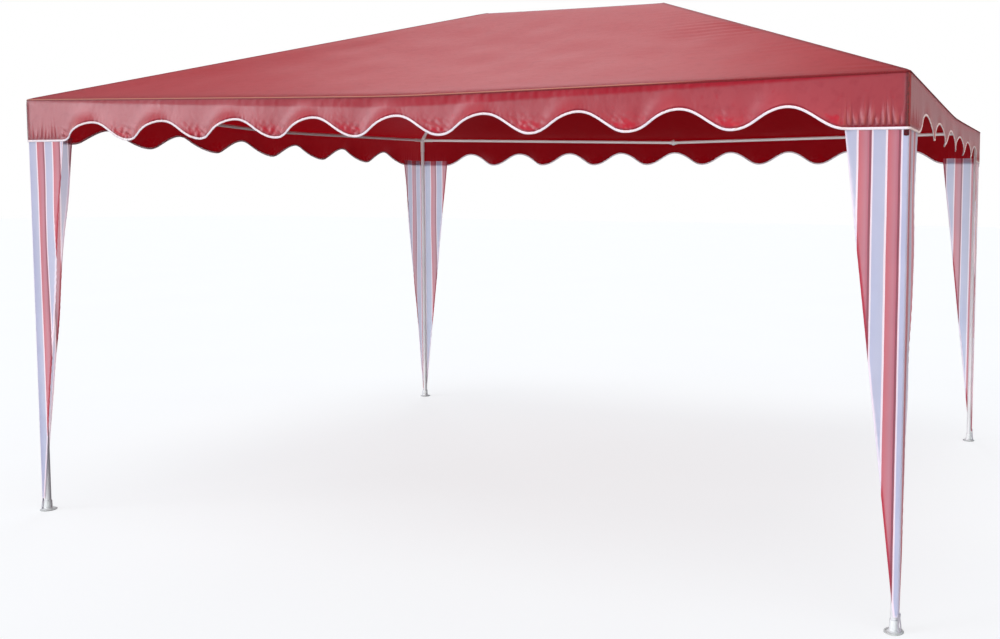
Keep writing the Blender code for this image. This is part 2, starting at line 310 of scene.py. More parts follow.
def shaded_disc_polypropylene():
    """The connectors' plastic, greyed by painted shade below the top of the disc, and rougher there."""
    made, tree, place = new_material("shaded_disc_polypropylene")
    height = add(tree, "SeparateXYZ", {"Vector": place}).outputs["Z"]
    mottle_noise = add(tree, "TexNoise", {"Vector": place, "Scale": 60.0, "Detail": 4.0})
    # Painted shade: grey below a ragged line at the top of the disc.
    wavy = add(tree, "Math", {0: mottle_noise, 1: DISC_SHADE_HEIGHT, 2: height}, operation="MULTIPLY_ADD")
    edge = {"Value": wavy, "From Min": 0.3 * DISC_SHADE_HEIGHT, "From Max": 1.6 * DISC_SHADE_HEIGHT}
    unshaded = add(tree, "MapRange", edge, interpolation_type="SMOOTHSTEP")
    tones = {0: unshaded, 6: linear("#B2B8B4"), 7: linear("#E6EBEA")}
    tone = add(tree, "Mix", tones, data_type="RGBA")
    gloss = add(tree, "MapRange", {"Value": unshaded, "To Min": 0.7, "To Max": 0.45})
    relief = add(tree, "Bump", {"Height": mottle_noise, "Strength": 0.2, "Distance": 0.0004})
    skin = {"Base Color": tone.outputs[2], "Roughness": gloss, "Normal": relief, "IOR": 1.49}
    shader = add(tree, "BsdfPrincipled", skin)
    add(tree, "OutputMaterial", {"Surface": shader})
    return made


refinish(("foot_",), shaded_disc_polypropylene())


# Roof cover
# One red cover of coated polyester, cut as four panels and sewn at the hips and the ridge. It is
# pulled over the frame, lies on the eave bars and turns down over them in a soft fold.

HALF_LENGTH = 2.0
HALF_WIDTH = 1.5
EAVE_HEIGHT = 1.905
RIDGE_HEIGHT = 2.48
HALF_RIDGE = 0.52
EAVE_SAG = 0.030
CORNER_RADIUS = 0.014
FOLD_RADIUS = 0.006
FOLD_DROP = 0.003
FOLD_REACH = 0.020
SKIRT = 0.003
SEAM_WIDTH = 0.014
SEAM_ROUND = 0.0016
SIDE_NAMES = ("front", "right", "rear", "left")
PANEL_SAG = 0.015
ROOF_ROWS = 84
ROOF_STEP = 0.0146
SWELL_HEIGHT, SWELL_LENGTH = 0.0022, 0.34
HIP_CALM = 0.16
HIP_RIPPLE_REACH = 0.13
HIP_RIPPLE_NEAR = 0.0040
HIP_RIPPLE_ELSEWHERE = 0.0011
PUCKER_LENGTH = 0.075
RIDGE_PUCKER_HEIGHT, RIDGE_PUCKER_LENGTH = 0.0012, 0.05
RIDGE_DIP = 0.0015
EAVE_PUCKER_HEIGHT, EAVE_PUCKER_LENGTH = 0.0004, 0.07
FOLD_HIGHLIGHT_END = 1.3


def rising(value, reach):
    """0 up to nothing, then evenly up to 1 at reach and beyond."""
    return np.clip(value / reach, 0, 1)


def bell(value, reach):
    """1 at nothing, falling off on both sides as a bell, to about a third at reach."""
    return np.exp(-((value / reach) ** 2))


def eave_path(step):
    """The outline of the roof from above, once round from the front left corner, counter-clockwise.

    Four straight sides are sampled every step and joined by quarter circles. For each column it
    gives the plan point, the outward direction, the side's number, the place along that side from
    its middle and half the side's length."""
    columns = []
    for side in range(4):
        out = np.array([(0, -1), (1, 0), (0, 1), (-1, 0)][side], float)
        run = np.array([-out[1], out[0]])
        half, reach = (HALF_LENGTH, HALF_WIDTH) if side % 2 == 0 else (HALF_WIDTH, HALF_LENGTH)
        straight = half - CORNER_RADIUS
        count = 2 * round(straight / step)
        along = np.linspace(-straight, straight, count + 1)
        plan = along[:, None] * run + out * reach
        columns.append((plan, np.tile(out, (len(along), 1)), np.full(len(along), side), along, half))
        turn = np.radians(np.arange(11.25, 90, 11.25))[:, None]
        normal = np.cos(turn) * out + np.sin(turn) * run
        centre = run * straight + out * (reach - CORNER_RADIUS)
        # From its middle at 45 degrees on, a quarter circle counts to the next side.
        second = turn[:, 0] > np.radians(44)
        other_half = HALF_WIDTH if side % 2 == 0 else HALF_LENGTH
        columns.append((
            centre + normal * CORNER_RADIUS,
            normal,
            np.where(second, (side + 1) % 4, side),
            np.where(second, -other_half, half),
            np.where(second, other_half, half),
        ))
    plan, out, side, along = (np.concatenate([column[i] for column in columns]) for i in range(4))
    half = np.concatenate([np.broadcast_to(column[4], len(column[3])) for column in columns])
    return plan, out, side, along, half


def sag_share(along, half):
    """0 at the corners and 1 in the middle of a side: a V whose tip is rounded over 0.3 m."""
    tip = 0.15
    end = np.sqrt(half**2 + tip**2)
    return (end - np.sqrt(along**2 + tip**2)) / (end - tip)


def fold_line(along, half, side):
    """For places along the sides: the eave's height, the slope of the panel above it, that slope's
    angle, how far the fold hangs below the panel's plane, and the height of the middle of its round."""
    share = sag_share(along, half)
    eave = EAVE_HEIGHT - EAVE_SAG * share
    slope = (RIDGE_HEIGHT - eave) / np.where(side % 2 == 0, HALF_WIDTH, HALF_LENGTH - HALF_RIDGE)
    tilt = np.arctan(slope)
    drop = FOLD_DROP * share
    return eave, slope, tilt, drop, eave - drop - FOLD_RADIUS * np.cos(tilt)


def plane_waves(across, up, length, seed, spread=0.5, count=7):
    """The sum of count sine waves of about that length, whose directions stray from across by up to
    spread radians, scaled to vary by about 1 to each side."""
    pick = np.random.default_rng(seed)
    total = np.zeros(np.broadcast(across, up).shape)
    for _ in range(count):
        turn = spread * pick.uniform(-1, 1)
        size = length * pick.uniform(0.7, 1.5)
        start = pick.uniform(0, 2 * np.pi)
        total += np.sin(2 * np.pi * (across * np.cos(turn) + up * np.sin(turn)) / size + start)
    return total / np.sqrt(2 * count)


def hip_places(x, y):
    """Distance from the nearest hip seam in plan, and the place along it from the ridge's end."""
    run, rise = HALF_LENGTH - HALF_RIDGE, HALF_WIDTH
    length = math.hypot(run, rise)
    from_ridge = np.abs(x) - HALF_RIDGE
    distance = np.abs(from_ridge * rise - np.abs(y) * run) / length
    place = (from_ridge * run + np.abs(y) * rise) / length
    return distance, place


def roof_grid():
    """The cover as rows from the ridge down to the eave, and the columns of the eave path.

    Each column is a straight line in plan from its ridge point to its eave point. Its height falls
    evenly, less a panel sag that is nil at hips, ridge and eave, plus puckers along the seams. The
    last rows turn down round the fold."""
    plan, out, side, along, half = eave_path(ROOF_STEP)
    long_side = side % 2 == 0
    ridge_x = np.clip(plan[:, 0] / (HALF_LENGTH - CORNER_RADIUS), -1, 1) * HALF_RIDGE
    ridge_x = np.where(long_side, ridge_x, np.sign(plan[:, 0]) * HALF_RIDGE)
    eave, slope, tilt, drop, fold_centre = fold_line(along, half, side)
    inner = plan - out * (FOLD_RADIUS * (1 - np.sin(tilt)))[:, None]
    down = np.linspace(0, 1, ROOF_ROWS) ** 0.85
    down = np.concatenate([down[:-1], 1 - np.array([0.0045, 0.0018, 0])])[:, None]
    x = ridge_x + down * (inner[:, 0] - ridge_x)
    y = down * inner[:, 1]
    run_in = np.where(long_side, HALF_WIDTH, HALF_LENGTH - HALF_RIDGE) * (1 - down)
    height = eave + slope * run_in
    height = height - drop * np.clip(1 - run_in / FOLD_REACH, 0, 1) ** 2
    across = np.where(long_side, x, y)
    up = np.where(long_side, np.abs(y), np.abs(x) - HALF_RIDGE)
    distance, place = hip_places(x, y)
    middle = np.sin(np.pi * down**1.2) * (1 - bell(distance, HIP_CALM)) * rising(1 - down, 0.05)
    height = height - PANEL_SAG * middle
    height = height + SWELL_HEIGHT * middle * plane_waves(across, up, SWELL_LENGTH, 3, 1.4)
    # Each hip's ripples start at a place of their own and come and go in patches along it.
    corner = 2 * (x > 0) + (y > 0) + np.zeros_like(x, int)
    start = np.array([0.4, 2.1, 4.0, 5.2])[corner]
    hip_run = HALF_LENGTH - HALF_RIDGE
    hip_share = np.where(long_side, np.abs(y) / HALF_WIDTH, (np.abs(x) - HALF_RIDGE) / hip_run)
    ripple_place = hip_share * math.hypot(hip_run, HALF_WIDTH)
    patches = np.sin(ripple_place * 7.5 + start) * np.sin(ripple_place * 3.1 + 2 * start)
    ripples = np.sin(2 * np.pi * ripple_place / PUCKER_LENGTH + start + 0.9 * np.sin(9 * across))
    near_hip = np.exp(-(distance / HIP_RIPPLE_REACH)) * rising(place, 0.2) * rising(0.985 - down, 0.02)
    wrinkled = np.where((side == 0) & (x > 0), HIP_RIPPLE_NEAR, HIP_RIPPLE_ELSEWHERE) * rising(distance, 0.03)
    height = height + wrinkled * ripples * np.clip(0.45 + patches, 0, 1) * near_hip
    height = height + SEAM_ROUND * bell(distance, 0.009) * rising(1 - down, 0.01)
    near_ridge = np.exp(-down / 0.035) * rising(down, 0.008) * long_side
    height = height + RIDGE_PUCKER_HEIGHT * near_ridge * plane_waves(x, y, RIDGE_PUCKER_LENGTH, 11, 0.3)
    ridge_dip = RIDGE_DIP * np.cos(np.pi * np.clip(x / HALF_RIDGE, -1, 1) / 2)
    height = height - ridge_dip * np.exp(-down / 0.05)
    near_eave = rising(down - 0.955, 0.03) * rising(1 - down, 0.012) * rising(np.abs(across), 0.08)
    height = height + EAVE_PUCKER_HEIGHT * near_eave * plane_waves(across, up, EAVE_PUCKER_LENGTH, 19, 0.4)
    cloth_up = np.hypot(run_in, slope * run_in)
    turn = np.linspace(1, 0, 6)[1:, None] * (np.pi / 2 - tilt)
    skirt = np.linspace(0, 1, 3)[1:, None] * SKIRT
    inset = np.vstack([FOLD_RADIUS * (1 - np.cos(turn)), 0 * skirt * along])
    fold_z = np.vstack([fold_centre + FOLD_RADIUS * np.sin(turn), fold_centre - skirt])
    x = np.vstack([x, plan[:, 0] - out[:, 0] * inset])
    y = np.vstack([y, plan[:, 1] - out[:, 1] * inset])
    fold_up = np.vstack([-FOLD_RADIUS * (np.pi / 2 - tilt - turn), -FOLD_RADIUS * (np.pi / 2 - tilt) - skirt])
    across = np.vstack([across, np.tile(along, (len(fold_up), 1))])
    cloth_map = np.stack([across, np.vstack([cloth_up, fold_up])], axis=-1)
    doubled = np.maximum(bell(distance, SEAM_WIDTH), np.exp(-down * HALF_WIDTH / SEAM_WIDTH))
    doubled = np.vstack([doubled, 0.6 + 0 * fold_z])
    # A painted highlight lies along the front's fold, from its left end nearly to the right corner.
    fold_highlight = np.zeros_like(doubled)
    fold_highlight[len(down) - 1 : len(down) + 3] = rising(FOLD_HIGHLIGHT_END - along, 0.25) * (side == 0)
    points = np.stack([x, y, np.vstack([height, fold_z])], axis=-1)
    return points, cloth_map, {"doubled": doubled, "fold_highlight": fold_highlight}


def wave_scale(spacing):
    """The Scale at which a wave texture's bands lie that many metres apart."""
    return math.pi / 10 / spacing


def weave(tree, flat, spacing, distortion, detail):
    """Plain weave as a height: bands across the cloth plus bands up it, both that far apart."""
    bands = {"Vector": flat, "Scale": wave_scale(spacing), "Distortion": distortion, "Detail": detail}
    warp, weft = (add(tree, "TexWave", bands, bands_direction=way).outputs["Fac"] for way in "XY")
    return add(tree, "Math", {0: warp, 1: weft}, operation="ADD")


def coated_polyester(name, colours, sewn_colours, light_through, sheen, gloss, hem_marks=False):
    """Polyester cloth, plain woven from flat filament and coated inside: a satin face that greys to a
    soft glare where it is seen at a slant, and lets a little red light through. Where it is sewn
    double it is deeper red and speckled by the stitches. gloss is its roughness and its refractive
    index.

    Its threads are about 0.4 mm apart and are drawn every 3 mm, so that they show at all."""
    deep, body, pale = (linear(colour) for colour in colours)
    made, tree, place = new_material(name)
    flat = add(tree, "UVMap", uv_map="cloth").outputs["UV"]
    cloud = add(tree, "TexNoise", {"Vector": place, "Scale": 1.1, "Detail": 4.0})
    clouded = add(tree, "MapRange", {"Value": cloud, "From Min": 0.3, "From Max": 0.7})
    tone = add(tree, "Mix", {0: clouded, 6: body, 7: pale}, data_type="RGBA")
    speck = add(tree, "TexNoise", {"Vector": place, "Scale": 26.0, "Detail": 5.0})
    specked = add(tree, "MapRange", {"Value": speck, "From Min": 0.5, "From Max": 0.8, "To Max": 0.35})
    tone = add(tree, "Mix", {0: specked, 6: tone.outputs[2], 7: deep}, data_type="RGBA")
    if hem_marks:
        tone = folded_band(tree, place, tone, deep, flat)
    stitching = add(tree, "TexNoise", {"Vector": place, "Scale": 210.0, "Detail": 2.0})
    stitched = add(tree, "MapRange", {"Value": stitching, "From Min": 0.42, "From Max": 0.62})
    thread_tones = {6: linear(sewn_colours[0]), 7: linear(sewn_colours[1])}
    sewn = add(tree, "Mix", {0: stitched, **thread_tones}, data_type="RGBA")
    doubled = add(tree, "Attribute", attribute_name="doubled").outputs["Fac"]
    tone = add(tree, "Mix", {0: doubled, 6: tone.outputs[2], 7: sewn.outputs[2]}, data_type="RGBA")
    # Painted highlight: a pale line along the front's fold, where the point attribute marks it.
    fold_highlight = add(tree, "Attribute", attribute_name="fold_highlight").outputs["Fac"]
    tone = add(tree, "Mix", {0: fold_highlight, 6: tone.outputs[2], 7: linear("#E49C82")}, data_type="RGBA")
    threads = weave(tree, flat, 0.003, 0.4, 1.0)
    relief = add(tree, "Bump", {"Height": threads, "Strength": 0.10, "Distance": 0.0005})
    creasing = {"Scale": 14.0, "Detail": 4.0, "Roughness": 0.55, "Distortion": 0.6}
    crush = add(tree, "TexNoise", {"Vector": place, **creasing})
    relief = add(tree, "Bump", {"Height": crush, "Strength": 0.30, "Distance": 0.004, "Normal": relief})
    skin = {"Base Color": tone.outputs[2], "Roughness": gloss[0], "Normal": relief, "IOR": gloss[1]}
    glare = {"Sheen Weight": sheen, "Sheen Roughness": 0.35, "Sheen Tint": linear("#FFF0F2")}
    face = add(tree, "BsdfPrincipled", {**skin, **glare})
    through = add(tree, "BsdfTranslucent", {"Color": linear("#D0101E"), "Normal": relief})
    both = add(tree, "MixShader", {0: light_through, 1: face, 2: through})
    add(tree, "OutputMaterial", {"Surface": both})
    return made


def folded_band(tree, place, tone, deep, flat):
    """Deeper red under the fold, partly where the seam's turned-in edges double the cloth and partly painted
    shade, stronger on the right half; painted shade in blotches and creases where the cloth is gathered,
    and a row of stitches along the binding; painted highlights on the crowns of the gathers."""
    along = add(tree, "SeparateXYZ", {"Vector": place}).outputs["X"]
    # Painted shade: the band under the fold is drawn full on the right half of the tent and weaker on the
    # left.
    band_shade_ramp = {"From Min": -0.02, "From Max": 0.03, "To Min": 0.72, "To Max": 1.0}
    band_shade_by_side = add(tree, "MapRange", {"Value": along, **band_shade_ramp})
    ragged = add(tree, "TexNoise", {"Vector": flat, "Scale": 18.0, "Detail": 3.0})
    band = add(tree, "Attribute", attribute_name="band").outputs["Fac"]
    edge = add(tree, "Math", {0: ragged, 1: 0.010, 2: band}, operation="MULTIPLY_ADD")
    smooth = {"interpolation_type": "SMOOTHSTEP"}
    turned = add(tree, "MapRange", {"Value": edge, "From Min": 0.000, "From Max": 0.014}, **smooth)
    turned = add(tree, "Math", {0: turned, 1: band_shade_by_side}, operation="MULTIPLY")
    gathered = add(tree, "Attribute", attribute_name="gathered").outputs["Fac"]
    patch = add(tree, "TexNoise", {"Vector": flat, "Scale": 30.0, "Detail": 4.0})
    # Painted shade: deeper red blotches near the lobes' tips, where the cloth is gathered.
    blotch_shade = add(tree, "Math", {0: gathered, 1: 0.48, 2: patch}, operation="MULTIPLY_ADD")
    blotch_shade = add(tree, "MapRange", {"Value": blotch_shade, "From Min": 0.60, "From Max": 0.92}, **smooth)
    band_and_blotch_shade = add(tree, "Math", {0: turned, 1: blotch_shade}, operation="MAXIMUM")
    pucker = add(tree, "Attribute", attribute_name="pucker").outputs["Fac"]
    # Painted highlight: paler red on the crowns of the corner puckers.
    crown_highlight = add(tree, "MapRange", {"Value": pucker, "From Min": 0.2, "From Max": 1.0, "To Max": 0.5})
    tone = add(tree, "Mix", {0: crown_highlight, 6: tone.outputs[2], 7: linear("#E0A0A6")}, data_type="RGBA")
    tone = add(tree, "Mix", {0: band_and_blotch_shade, 6: tone.outputs[2], 7: linear("#BC062E")}, data_type="RGBA")
    # Painted shade: deeper red in the creases between the puckers.
    crease_shade = add(tree, "MapRange", {"Value": pucker, "From Max": -1.0, "To Max": 0.9})
    from_edge = add(tree, "Attribute", attribute_name="above_edge").outputs["Fac"]
    sewn = add(tree, "MapRange", {"Value": from_edge, "From Min": 0.0180, "From Max": 0.0125}, **smooth)
    amount = add(tree, "Math", {0: crease_shade, 1: sewn}, operation="MAXIMUM")
    return add(tree, "Mix", {0: amount, 6: tone.outputs[2], 7: deep}, data_type="RGBA")


def hang(piece, slot, *nodes):
    """Lets a piece ride with the tent and stand for these nodes, which it hides. slot is not used."""
    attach(piece, "root")
    if nodes:
        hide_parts(*nodes)
    return piece


def sewn_at_ridge(points):
    """The roof's point numbers with its first row sewn shut: columns that start at the same place
    along the ridge share one point there, so both slopes meet and the hips end in one point."""
    index = grid_index(*points.shape[:2])
    _, first, which = np.unique(np.round(points[0, :, 0], 5), return_index=True, return_inverse=True)
    index[0] = first[which]
    return np.hstack([index, index[:, :1]])


ROOF_CLOTH = coated_polyester(
    "coated_polyester_roof",
    ("#8A0E18", "#AE3034", "#B4383A"),
    ("#6A0A16", "#A82230"),
    light_through=0.30,
    sheen=0.06,
    gloss=(0.52, 1.47),
)
roof_points, roof_map, roof_shares = roof_grid()
roof = surface("roof_cover", roof_points, sewn_at_ridge(roof_points), ROOF_CLOTH, roof_map, roof_shares)
hang(roof, "roof_cloth", *[f"roof_panel_{side}" for side in SIDE_NAMES])


# Valance
# A strip of the same cloth sewn to each side of the cover and cut in scallops along its lower edge.
# It hangs free: its lobes curl in and out, and it is gathered where strips meet at the corners.

VALANCE_LOW = 1.712
VALANCE_DEPTH = 0.193
SCALLOP_RISE = 0.077
CORNER_FLAT = 0.215
WAVES = (9, 6, 9, 6)
VALANCE_ROWS = 32
VALANCE_STEP = 0.0036
BEHIND_SKIRT = 0.0008
# One value a side, in the order of SIDE_NAMES.
TIP_CURL = (-0.005, 0.004, 0.010, 0.010)
LOBE_FLARE = (0.034, -0.003, 0.024, 0.024)
LOBE_TRAIL = (0.012, 0.008, 0.007, 0.007)
FRONT_LEAN = 0.0207
LOBE_STRAY = 0.005
LOBE_STIFF = 0.052
LET_GO = 0.075
HANG_WAVE, HANG_LENGTH = 0.004, 0.42
IN_TAPE = 0.0105
BAND_DEPTH = 0.040
BAND_LEAN = 0.15
PUCKER_SPACING = 0.0225
PUCKER_HEIGHT, PUCKER_REACH = 0.0030, 0.075
CRUMPLE_HEIGHT, CRUMPLE_LENGTH = 0.0024, 0.030
CRUMPLE_HALF_WIDTH, CRUMPLE_REACH = 0.062, 0.042
EDGE_WAVE, EDGE_WAVE_LENGTH = 0.0006, 0.02
FOLD_GATHER, FOLD_GATHER_LENGTH = 0.0007, 0.034
SEAM_BAND = 0.019
SEAM_RIDGE = 0.002


def scallop_places(along, half, side):
    """How far each place lies above the straight lower edge, how far round its wave it is from the
    nearest lobe's tip, its distance from that tip and how far it is into the level part. The edge is
    level at the corners, with one cosine wave a scallop between."""
    waves = np.array(WAVES)[side]
    scalloped = half - CORNER_FLAT
    turn = np.pi * waves * (np.clip(along / scalloped, -1, 1) + 1)
    rise = SCALLOP_RISE * (1 - np.cos(turn)) / 2
    lobe = np.round(turn / (2 * np.pi))
    from_tip = along - (2 * lobe / waves - 1) * scalloped
    in_flat = np.clip((np.abs(along) - scalloped) / 0.05 + 0.6, 0, 1)
    return rise, turn - 2 * np.pi * lobe, from_tip, in_flat


def valance_grid():
    """All four strips as one ring: rows from the fold to the scalloped edge, columns round the eave.

    Each point hangs straight down and is moved outward by the sum of a slow wave, the curl of its
    lobe's tip, the flares of that lobe's two halves, puckers and crumples near the edge, small
    gathers under the fold and the corner's seam. Curl and flares fade out towards the fold. The
    seam's turned-in edges hold the cloth under the fold at a slight inward lean. Every move is the
    same all the way down where the tape grips."""
    plan, out, side, along, half = eave_path(VALANCE_STEP)
    _, _, _, _, top = fold_line(along, half, side)
    rise, phase, from_tip, in_flat = scallop_places(along, half, side)
    bottom = VALANCE_LOW + rise
    share = np.linspace(0, 1, VALANCE_ROWS)[:, None] ** 0.9
    z = top + share * (bottom - top)
    drop = top - z
    above = np.maximum(z - bottom, IN_TAPE) - IN_TAPE
    level = bottom + above
    hang_share = np.clip((top - level) / VALANCE_DEPTH, 0, 1.2)
    run = np.concatenate([[0], np.cumsum(np.linalg.norm(np.diff(plan, axis=0), axis=1))])
    corner_gap = half - np.abs(along)
    free = np.clip((corner_gap - 0.20) / 0.10, 0, 1)
    stray = LOBE_STRAY * plane_waves(run, 0 * run, 0.8, 23, 0.0, 5)
    curl = np.array(TIP_CURL)[side] - FRONT_LEAN * np.clip(along, -0.45, 2) * (side == 0) + stray
    flare = (np.array(LOBE_FLARE)[side] + stray) * (0.5 + 0.5 * np.cos(phase - 2.0)) ** 3
    trail = np.array(LOBE_TRAIL)[side] * (0.5 + 0.5 * np.cos(phase + 1.5)) ** 2
    let_go = 1 - bell(top - level, LET_GO)
    offset = flare + trail - curl * bell(phase, 0.8)
    offset = offset * free * let_go * np.exp(-above / LOBE_STIFF)
    offset = offset + HANG_WAVE * free * hang_share**1.5 * plane_waves(run, 0.4 * level, HANG_LENGTH, 31, 0.3)
    flat_here = in_flat * bell(above, PUCKER_REACH) * rising(corner_gap - 0.012, 0.02)
    strong = 0.42 + 0.58 * ((side == 0) & (along > 0))
    fan = np.sin(2 * np.pi * run / 0.13)
    puckers = np.sin(2 * np.pi * (run + 0.10 * above * fan) / PUCKER_SPACING + 0.6 * fan)
    puckers = puckers * (1.25 - 0.25 * puckers)
    tall = 0.55 + 0.45 * np.sin(2 * np.pi * run / 0.071 + 0.7)
    pucker_share = strong * flat_here * np.clip(1.3 - above / (0.10 * tall + 0.02), 0, 1)
    offset = offset + PUCKER_HEIGHT * pucker_share * (puckers + 1) * np.clip(above / 0.010, 0.15, 1)
    near_tip = bell(from_tip + 0.015, CRUMPLE_HALF_WIDTH) * bell(above, CRUMPLE_REACH) * (1 - in_flat)
    offset = offset + CRUMPLE_HEIGHT * near_tip * plane_waves(run, 1.6 * level, CRUMPLE_LENGTH, 41, 1.3)
    at_edge = (1 - in_flat) * np.exp(-above / 0.02)
    offset = offset + EDGE_WAVE * at_edge * plane_waves(run, level, EDGE_WAVE_LENGTH, 43, 0.5)
    under_fold = np.exp(-drop / 0.028) * rising(drop, 0.006) * rising(np.abs(along), 0.08)
    offset = offset + FOLD_GATHER * under_fold * plane_waves(run, z, FOLD_GATHER_LENGTH, 47, 0.6)
    seam_share = np.exp(-((corner_gap / SEAM_BAND) ** 6)) * (side % 2 == 0)
    offset = offset + SEAM_RIDGE * seam_share * rising(drop, 0.01) - BEHIND_SKIRT
    band = BAND_DEPTH * sag_share(along, half) ** 0.7
    offset = offset - BAND_LEAN * np.minimum(drop, band) * (side == 0)
    x = plan[:, 0] + out[:, 0] * offset
    y = plan[:, 1] + out[:, 1] * offset
    shares = {
        "gathered": near_tip,
        "pucker": pucker_share * puckers,
        "doubled": np.broadcast_to(seam_share, z.shape),
        "band": band - drop,
        "above_edge": z - bottom,
    }
    run = np.broadcast_to(run, z.shape)
    return np.stack([x, y, z], -1), np.stack([run, -drop], -1), shares, out


def side_columns(out):
    """For each side, the columns of the ring from one corner's middle to the next one's."""
    slant = np.abs(np.abs(out[:, 0]) - np.abs(out[:, 1])) < 1e-6
    middles = np.flatnonzero(slant)
    count = len(out)
    return [np.arange(middles[k - 1] - (count if k == 0 else 0), middles[k] + 1) % count for k in range(4)]


VALANCE_CLOTH = coated_polyester(
    "coated_polyester_valance",
    ("#8C0428", "#AE3C48", "#B44854"),
    ("#440010", "#86061E"),
    light_through=0.20,
    sheen=1.0,
    gloss=(0.43, 1.6),
    hem_marks=True,
)
valance_points, valance_map, valance_shares, ring_out = valance_grid()
valances = []
for side, columns in enumerate(side_columns(ring_out)):
    strip = surface(
        f"scalloped_valance_{SIDE_NAMES[side]}",
        valance_points[:, columns],
        grid_index(VALANCE_ROWS, len(columns)),
        VALANCE_CLOTH,
        valance_map[:, columns],
        {label: values[:, columns] for label, values in valance_shares.items()},
    )
    hang(strip, "valance_cloth", f"valance_{SIDE_NAMES[side]}")
    valances.append(strip)


# Binding
# A white woven tape folded over the valance's lower edge and sewn through, once round the tent.

BINDING_HALF_HEIGHT = 0.0046
BINDING_HALF_THICKNESS = 0.0018
BINDING_LAP = 0.0036
BINDING_SIDES = 14


def woven_tape():
    """Woven polyester tape: white, matt, with fine ribs across it and a row of sunk stitches.

    Ribs are about 0.5 mm apart on such a tape and are drawn every 2 mm; the stitches are 5 mm long."""
    made, tree, place = new_material("woven_polyester_tape")
    flat = add(tree, "UVMap", uv_map="cloth").outputs["UV"]
    rows = {"Vector": flat, "Scale": wave_scale(0.002), "Distortion": 0.3}
    ribs = add(tree, "TexWave", rows, bands_direction="X").outputs["Fac"]
    rows = {"Vector": flat, "Scale": wave_scale(0.005), "Distortion": 0.2}
    stitches = add(tree, "TexWave", rows, bands_direction="X").outputs["Fac"]
    grime = add(tree, "TexNoise", {"Vector": place, "Scale": 9.0, "Detail": 4.0})
    tones = {0: grime, 6: linear("#CCCBD6"), 7: linear("#E6E1E8")}
    tone = add(tree, "Mix", tones, data_type="RGBA")
    sunk = add(tree, "MapRange", {"Value": stitches, "From Min": 0.75, "From Max": 1.0, "To Max": 0.35})
    tone = add(tree, "Mix", {0: sunk, 6: tone.outputs[2], 7: linear("#B9A9B2")}, data_type="RGBA")
    depth = add(tree, "Math", {0: stitches, 1: -0.7, 2: ribs}, operation="MULTIPLY_ADD")
    relief = add(tree, "Bump", {"Height": depth, "Strength": 0.4, "Distance": 0.0006})
    skin = {"Base Color": tone.outputs[2], "Roughness": 0.75, "Normal": relief}
    shader = add(tree, "BsdfPrincipled", {**skin, "Sheen Weight": 0.15, "Sheen Roughness": 0.5})
    add(tree, "OutputMaterial", {"Surface": shader})
    return made


def tape_round(path, out, half_height, half_thickness, lap, sides):
    """A closed flat tape along a closed path: each cross-section is an ellipse that stands in the
    cloth, square to the path, with its middle lap above the edge."""
    ahead = np.roll(path, -1, axis=0) - np.roll(path, 1, axis=0)
    ahead /= np.linalg.norm(ahead, axis=1)[:, None]
    face = np.column_stack([out, np.zeros(len(out))])
    face -= ahead * np.sum(face * ahead, axis=1)[:, None]
    face /= np.linalg.norm(face, axis=1)[:, None]
    upright = np.cross(face, ahead)
    turn = np.linspace(0, 2 * np.pi, sides, endpoint=False)[:, None, None]
    points = path + upright * (lap + half_height * np.sin(turn)) + face * half_thickness * np.cos(turn)
    run = np.concatenate([[0], np.cumsum(np.linalg.norm(np.diff(path, axis=0), axis=1))])
    across = np.broadcast_to(half_height * np.sin(turn[:, :, 0]), points.shape[:2])
    return points, np.stack([np.broadcast_to(run, points.shape[:2]), across], axis=-1)


TAPE = woven_tape()
tape_points, tape_map = tape_round(
    valance_points[-1], ring_out, BINDING_HALF_HEIGHT, BINDING_HALF_THICKNESS, BINDING_LAP, BINDING_SIDES
)
tape_index = grid_index(BINDING_SIDES, len(ring_out), round_rows=True, round_columns=True)
binding = surface("valance_binding", tape_points, tape_index[::-1], TAPE, tape_map)
hang(binding, "binding")


# Leg covers
# A tapering strip of thin striped cloth folded round each corner, hanging from the valance's inside
# down to the foot. Its stripes run down, so the taper cuts them, and its free edges are hemmed.

COVER_TOP = 1.745
COVER_SIDE_TOP = 1.732
COVER_TOP_WIDTH = 0.2157
COVER_END_WIDTH = 0.018
COVER_END_HEIGHT = 0.058
COVER_INSET = 0.0042
COVER_CORNER = 0.007
HEM_WIDTH = 0.007
HEM_GAP = 0.0012
STRIPE_PERIOD = 0.098
STRIPE_RED = 0.455
COVER_LIGHT_THROUGH = 0.42
PALER_THROUGH = 0.52
COVER_BELLY = 0.004
COVER_EDGE_WAVE = 0.005
COVER_CREASE = 0.0013
HEM_TUG = 0.0009
COVER_ROWS = 230
# Where the first red stripe begins: on the long side's face and on the short side's face.
STRIPE_STARTS = {
    "front_left": (0.055, -0.0016),
    "front_right": (0.023, 0.0194),
    "rear_left": (-0.022, 0.0754),
    "rear_right": (-0.002, -0.008),
}


